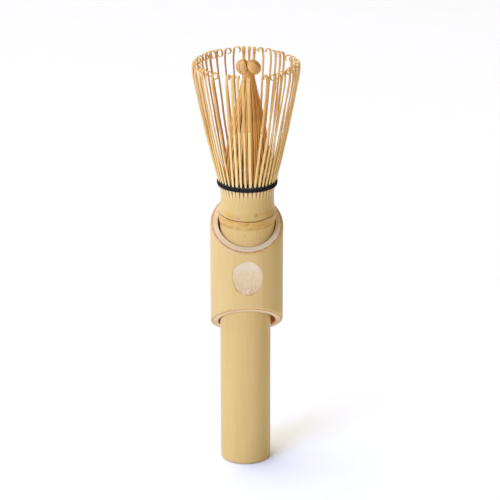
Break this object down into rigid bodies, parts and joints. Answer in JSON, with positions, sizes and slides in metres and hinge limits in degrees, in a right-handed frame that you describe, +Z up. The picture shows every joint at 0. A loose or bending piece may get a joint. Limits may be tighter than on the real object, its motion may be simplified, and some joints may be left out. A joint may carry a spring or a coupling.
{
  "type": "bamboo tea whisk",
  "caption": "Bamboo tea whisk: a slim bamboo culm split into fine curled tines round a knotted inner bundle, bound with thread, with a slanted bamboo sleeve sliding on its handle.",
  "frame": {"origin": "centre of the handle's cut lower end, the face it stands on", "axes": "+Z up along the culm to the curled tines, -Y towards the thumb patch on the sleeve"},
  "size_m": [0.0496, 0.0496, 0.1922],
  "materials": {
    "culm_bamboo": "satin",
    "sleeve_bamboo": "satin",
    "thread_black": "matte",
    "inner_tine_bamboo": "satin",
    "outer_tine_bamboo": "satin"
  },
  "bodies": {
    "root": {"culm": "culm_bamboo", "binding_thread": "thread_black", "inner_tines": "inner_tine_bamboo", "inner_knot": "inner_tine_bamboo"},
    "sleeve": {"sleeve": "sleeve_bamboo"},
    "outer_tine_01": {"outer_tine_01": "outer_tine_bamboo"},
    "outer_tine_02": {"outer_tine_02": "outer_tine_bamboo"},
    "outer_tine_03": {"outer_tine_03": "outer_tine_bamboo"},
    "outer_tine_04": {"outer_tine_04": "outer_tine_bamboo"},
    "outer_tine_05": {"outer_tine_05": "outer_tine_bamboo"},
    "outer_tine_06": {"outer_tine_06": "outer_tine_bamboo"},
    "outer_tine_07": {"outer_tine_07": "outer_tine_bamboo"},
    "outer_tine_08": {"outer_tine_08": "outer_tine_bamboo"},
    "outer_tine_09": {"outer_tine_09": "outer_tine_bamboo"},
    "outer_tine_10": {"outer_tine_10": "outer_tine_bamboo"},
    "outer_tine_11": {"outer_tine_11": "outer_tine_bamboo"},
    "outer_tine_12": {"outer_tine_12": "outer_tine_bamboo"},
    "outer_tine_13": {"outer_tine_13": "outer_tine_bamboo"},
    "outer_tine_14": {"outer_tine_14": "outer_tine_bamboo"},
    "outer_tine_15": {"outer_tine_15": "outer_tine_bamboo"},
    "outer_tine_16": {"outer_tine_16": "outer_tine_bamboo"},
    "outer_tine_17": {"outer_tine_17": "outer_tine_bamboo"},
    "outer_tine_18": {"outer_tine_18": "outer_tine_bamboo"},
    "outer_tine_19": {"outer_tine_19": "outer_tine_bamboo"},
    "outer_tine_20": {"outer_tine_20": "outer_tine_bamboo"},
    "outer_tine_21": {"outer_tine_21": "outer_tine_bamboo"},
    "outer_tine_22": {"outer_tine_22": "outer_tine_bamboo"},
    "outer_tine_23": {"outer_tine_23": "outer_tine_bamboo"},
    "outer_tine_24": {"outer_tine_24": "outer_tine_bamboo"},
    "outer_tine_25": {"outer_tine_25": "outer_tine_bamboo"},
    "outer_tine_26": {"outer_tine_26": "outer_tine_bamboo"},
    "outer_tine_27": {"outer_tine_27": "outer_tine_bamboo"},
    "outer_tine_28": {"outer_tine_28": "outer_tine_bamboo"},
    "outer_tine_29": {"outer_tine_29": "outer_tine_bamboo"},
    "outer_tine_30": {"outer_tine_30": "outer_tine_bamboo"},
    "outer_tine_31": {"outer_tine_31": "outer_tine_bamboo"},
    "outer_tine_32": {"outer_tine_32": "outer_tine_bamboo"},
    "outer_tine_33": {"outer_tine_33": "outer_tine_bamboo"},
    "outer_tine_34": {"outer_tine_34": "outer_tine_bamboo"},
    "outer_tine_35": {"outer_tine_35": "outer_tine_bamboo"},
    "outer_tine_36": {"outer_tine_36": "outer_tine_bamboo"},
    "outer_tine_37": {"outer_tine_37": "outer_tine_bamboo"},
    "outer_tine_38": {"outer_tine_38": "outer_tine_bamboo"},
    "outer_tine_39": {"outer_tine_39": "outer_tine_bamboo"},
    "outer_tine_40": {"outer_tine_40": "outer_tine_bamboo"},
    "outer_tine_41": {"outer_tine_41": "outer_tine_bamboo"},
    "outer_tine_42": {"outer_tine_42": "outer_tine_bamboo"}
  },
  "joints": [
    {"name": "sleeve_slide", "type": "slide", "parent": "root", "child": "sleeve", "axis": [0, 0, -1], "range_m": [0, 0.0535]},
    {"name": "tine_flex_01", "type": "hinge", "parent": "root", "child": "outer_tine_01", "pos_m": [-0.00045, 0.01314, 0.137], "axis": [-0.9951, -0.0988, 0], "range_deg": [-5.5, 6], "stiffness_Nm_per_rad": 0.02},
    {"name": "tine_flex_02", "type": "hinge", "parent": "root", "child": "outer_tine_02", "pos_m": [-0.0024, 0.01279, 0.137], "axis": [-0.9693, -0.246, 0], "range_deg": [-5.5, 6], "stiffness_Nm_per_rad": 0.02},
    {"name": "tine_flex_03", "type": "hinge", "parent": "root", "child": "outer_tine_03", "pos_m": [-0.00427, 0.01217, 0.137], "axis": [-0.9218, -0.3877, 0], "range_deg": [-5.5, 6], "stiffness_Nm_per_rad": 0.02},
    {"name": "tine_flex_04", "type": "hinge", "parent": "root", "child": "outer_tine_04", "pos_m": [-0.00602, 0.01127, 0.137], "axis": [-0.8537, -0.5208, 0], "range_deg": [-5.5, 6], "stiffness_Nm_per_rad": 0.02},
    {"name": "tine_flex_05", "type": "hinge", "parent": "root", "child": "outer_tine_05", "pos_m": [-0.00763, 0.01012, 0.137], "axis": [-0.7665, -0.6422, 0], "range_deg": [-5.5, 6], "stiffness_Nm_per_rad": 0.02},
    {"name": "tine_flex_06", "type": "hinge", "parent": "root", "child": "outer_tine_06", "pos_m": [-0.00904, 0.00874, 0.137], "axis": [-0.6622, -0.7493, 0], "range_deg": [-5.5, 6], "stiffness_Nm_per_rad": 0.02},
    {"name": "tine_flex_07", "type": "hinge", "parent": "root", "child": "outer_tine_07", "pos_m": [-0.01023, 0.00717, 0.137], "axis": [-0.5432, -0.8396, 0], "range_deg": [-5.5, 6], "stiffness_Nm_per_rad": 0.02},
    {"name": "tine_flex_08", "type": "hinge", "parent": "root", "child": "outer_tine_08", "pos_m": [-0.01118, 0.00544, 0.137], "axis": [-0.412, -0.9112, 0], "range_deg": [-5.5, 6], "stiffness_Nm_per_rad": 0.02},
    {"name": "tine_flex_09", "type": "hinge", "parent": "root", "child": "outer_tine_09", "pos_m": [-0.01185, 0.00358, 0.137], "axis": [-0.2716, -0.9624, 0], "range_deg": [-5.5, 6], "stiffness_Nm_per_rad": 0.02},
    {"name": "tine_flex_10", "type": "hinge", "parent": "root", "child": "outer_tine_10", "pos_m": [-0.01225, 0.00165, 0.137], "axis": [-0.1251, -0.9921, 0], "range_deg": [-5.5, 6], "stiffness_Nm_per_rad": 0.02},
    {"name": "tine_flex_11", "type": "hinge", "parent": "root", "child": "outer_tine_11", "pos_m": [-0.01235, -0.00032, 0.137], "axis": [0.0242, -0.9997, 0], "range_deg": [-5.5, 6], "stiffness_Nm_per_rad": 0.02},
    {"name": "tine_flex_12", "type": "hinge", "parent": "root", "child": "outer_tine_12", "pos_m": [-0.01215, -0.00228, 0.137], "axis": [0.1729, -0.9849, 0], "range_deg": [-5.5, 6], "stiffness_Nm_per_rad": 0.02},
    {"name": "tine_flex_13", "type": "hinge", "parent": "root", "child": "outer_tine_13", "pos_m": [-0.01167, -0.00419, 0.137], "axis": [0.3178, -0.9482, 0], "range_deg": [-5.5, 6], "stiffness_Nm_per_rad": 0.02},
    {"name": "tine_flex_14", "type": "hinge", "parent": "root", "child": "outer_tine_14", "pos_m": [-0.0109, -0.00601, 0.137], "axis": [0.4555, -0.8902, 0], "range_deg": [-5.5, 6], "stiffness_Nm_per_rad": 0.02},
    {"name": "tine_flex_15", "type": "hinge", "parent": "root", "child": "outer_tine_15", "pos_m": [-0.00987, -0.0077, 0.137], "axis": [0.5831, -0.8124, 0], "range_deg": [-5.5, 6], "stiffness_Nm_per_rad": 0.02},
    {"name": "tine_flex_16", "type": "hinge", "parent": "root", "child": "outer_tine_16", "pos_m": [-0.00861, -0.00921, 0.137], "axis": [0.6977, -0.7164, 0], "range_deg": [-5.5, 6], "stiffness_Nm_per_rad": 0.02},
    {"name": "tine_flex_17", "type": "hinge", "parent": "root", "child": "outer_tine_17", "pos_m": [-0.00713, -0.01052, 0.137], "axis": [0.7967, -0.6044, 0], "range_deg": [-5.5, 6], "stiffness_Nm_per_rad": 0.02},
    {"name": "tine_flex_18", "type": "hinge", "parent": "root", "child": "outer_tine_18", "pos_m": [-0.00547, -0.01159, 0.137], "axis": [0.8779, -0.4789, 0], "range_deg": [-5.5, 6], "stiffness_Nm_per_rad": 0.02},
    {"name": "tine_flex_19", "type": "hinge", "parent": "root", "child": "outer_tine_19", "pos_m": [-0.00367, -0.0124, 0.137], "axis": [0.9394, -0.3427, 0], "range_deg": [-5.5, 6], "stiffness_Nm_per_rad": 0.02},
    {"name": "tine_flex_20", "type": "hinge", "parent": "root", "child": "outer_tine_20", "pos_m": [-0.00178, -0.01294, 0.137], "axis": [0.98, -0.1989, 0], "range_deg": [-5.5, 6], "stiffness_Nm_per_rad": 0.02},
    {"name": "tine_flex_21", "type": "hinge", "parent": "root", "child": "outer_tine_21", "pos_m": [0.00018, -0.01318, 0.137], "axis": [0.9987, -0.0506, 0], "range_deg": [-5.5, 6], "stiffness_Nm_per_rad": 0.02},
    {"name": "tine_flex_22", "type": "hinge", "parent": "root", "child": "outer_tine_22", "pos_m": [0.00222, -0.01313, 0.137], "axis": [0.9946, 0.104, 0], "range_deg": [-5.5, 6], "stiffness_Nm_per_rad": 0.02},
    {"name": "tine_flex_23", "type": "hinge", "parent": "root", "child": "outer_tine_23", "pos_m": [0.00434, -0.01273, 0.137], "axis": [0.9644, 0.2646, 0], "range_deg": [-5.5, 6], "stiffness_Nm_per_rad": 0.02},
    {"name": "tine_flex_24", "type": "hinge", "parent": "root", "child": "outer_tine_24", "pos_m": [0.00616, -0.01209, 0.137], "axis": [0.9156, 0.4022, 0], "range_deg": [-5.5, 6], "stiffness_Nm_per_rad": 0.02},
    {"name": "tine_flex_25", "type": "hinge", "parent": "root", "child": "outer_tine_25", "pos_m": [0.00784, -0.0112, 0.137], "axis": [0.8482, 0.5297, 0], "range_deg": [-5.5, 6], "stiffness_Nm_per_rad": 0.02},
    {"name": "tine_flex_26", "type": "hinge", "parent": "root", "child": "outer_tine_26", "pos_m": [0.00933, -0.01012, 0.137], "axis": [0.7665, 0.6422, 0], "range_deg": [-5.5, 6], "stiffness_Nm_per_rad": 0.02},
    {"name": "tine_flex_27", "type": "hinge", "parent": "root", "child": "outer_tine_27", "pos_m": [0.01074, -0.00874, 0.137], "axis": [0.6622, 0.7493, 0], "range_deg": [-5.5, 6], "stiffness_Nm_per_rad": 0.02},
    {"name": "tine_flex_28", "type": "hinge", "parent": "root", "child": "outer_tine_28", "pos_m": [0.01193, -0.00717, 0.137], "axis": [0.5432, 0.8396, 0], "range_deg": [-5.5, 6], "stiffness_Nm_per_rad": 0.02},
    {"name": "tine_flex_29", "type": "hinge", "parent": "root", "child": "outer_tine_29", "pos_m": [0.01288, -0.00544, 0.137], "axis": [0.412, 0.9112, 0], "range_deg": [-5.5, 6], "stiffness_Nm_per_rad": 0.02},
    {"name": "tine_flex_30", "type": "hinge", "parent": "root", "child": "outer_tine_30", "pos_m": [0.01355, -0.00358, 0.137], "axis": [0.2716, 0.9624, 0], "range_deg": [-5.5, 6], "stiffness_Nm_per_rad": 0.02},
    {"name": "tine_flex_31", "type": "hinge", "parent": "root", "child": "outer_tine_31", "pos_m": [0.01395, -0.00165, 0.137], "axis": [0.1251, 0.9921, 0], "range_deg": [-5.5, 6], "stiffness_Nm_per_rad": 0.02},
    {"name": "tine_flex_32", "type": "hinge", "parent": "root", "child": "outer_tine_32", "pos_m": [0.01405, 0.00032, 0.137], "axis": [-0.0242, 0.9997, 0], "range_deg": [-5.5, 6], "stiffness_Nm_per_rad": 0.02},
    {"name": "tine_flex_33", "type": "hinge", "parent": "root", "child": "outer_tine_33", "pos_m": [0.01385, 0.00228, 0.137], "axis": [-0.1729, 0.9849, 0], "range_deg": [-5.5, 6], "stiffness_Nm_per_rad": 0.02},
    {"name": "tine_flex_34", "type": "hinge", "parent": "root", "child": "outer_tine_34", "pos_m": [0.01337, 0.00419, 0.137], "axis": [-0.3178, 0.9482, 0], "range_deg": [-5.5, 6], "stiffness_Nm_per_rad": 0.02},
    {"name": "tine_flex_35", "type": "hinge", "parent": "root", "child": "outer_tine_35", "pos_m": [0.0126, 0.00601, 0.137], "axis": [-0.4555, 0.8902, 0], "range_deg": [-5.5, 6], "stiffness_Nm_per_rad": 0.02},
    {"name": "tine_flex_36", "type": "hinge", "parent": "root", "child": "outer_tine_36", "pos_m": [0.01157, 0.0077, 0.137], "axis": [-0.5831, 0.8124, 0], "range_deg": [-5.5, 6], "stiffness_Nm_per_rad": 0.02},
    {"name": "tine_flex_37", "type": "hinge", "parent": "root", "child": "outer_tine_37", "pos_m": [0.01031, 0.00921, 0.137], "axis": [-0.6977, 0.7164, 0], "range_deg": [-5.5, 6], "stiffness_Nm_per_rad": 0.02},
    {"name": "tine_flex_38", "type": "hinge", "parent": "root", "child": "outer_tine_38", "pos_m": [0.00883, 0.01052, 0.137], "axis": [-0.7967, 0.6044, 0], "range_deg": [-5.5, 6], "stiffness_Nm_per_rad": 0.02},
    {"name": "tine_flex_39", "type": "hinge", "parent": "root", "child": "outer_tine_39", "pos_m": [0.00717, 0.01159, 0.137], "axis": [-0.8779, 0.4789, 0], "range_deg": [-5.5, 6], "stiffness_Nm_per_rad": 0.02},
    {"name": "tine_flex_40", "type": "hinge", "parent": "root", "child": "outer_tine_40", "pos_m": [0.00537, 0.0124, 0.137], "axis": [-0.9394, 0.3427, 0], "range_deg": [-5.5, 6], "stiffness_Nm_per_rad": 0.02},
    {"name": "tine_flex_41", "type": "hinge", "parent": "root", "child": "outer_tine_41", "pos_m": [0.00348, 0.01294, 0.137], "axis": [-0.98, 0.1989, 0], "range_deg": [-5.5, 6], "stiffness_Nm_per_rad": 0.02},
    {"name": "tine_flex_42", "type": "hinge", "parent": "root", "child": "outer_tine_42", "pos_m": [0.00152, 0.01318, 0.137], "axis": [-0.9987, 0.0506, 0], "range_deg": [-5.5, 6], "stiffness_Nm_per_rad": 0.02}
  ]
}
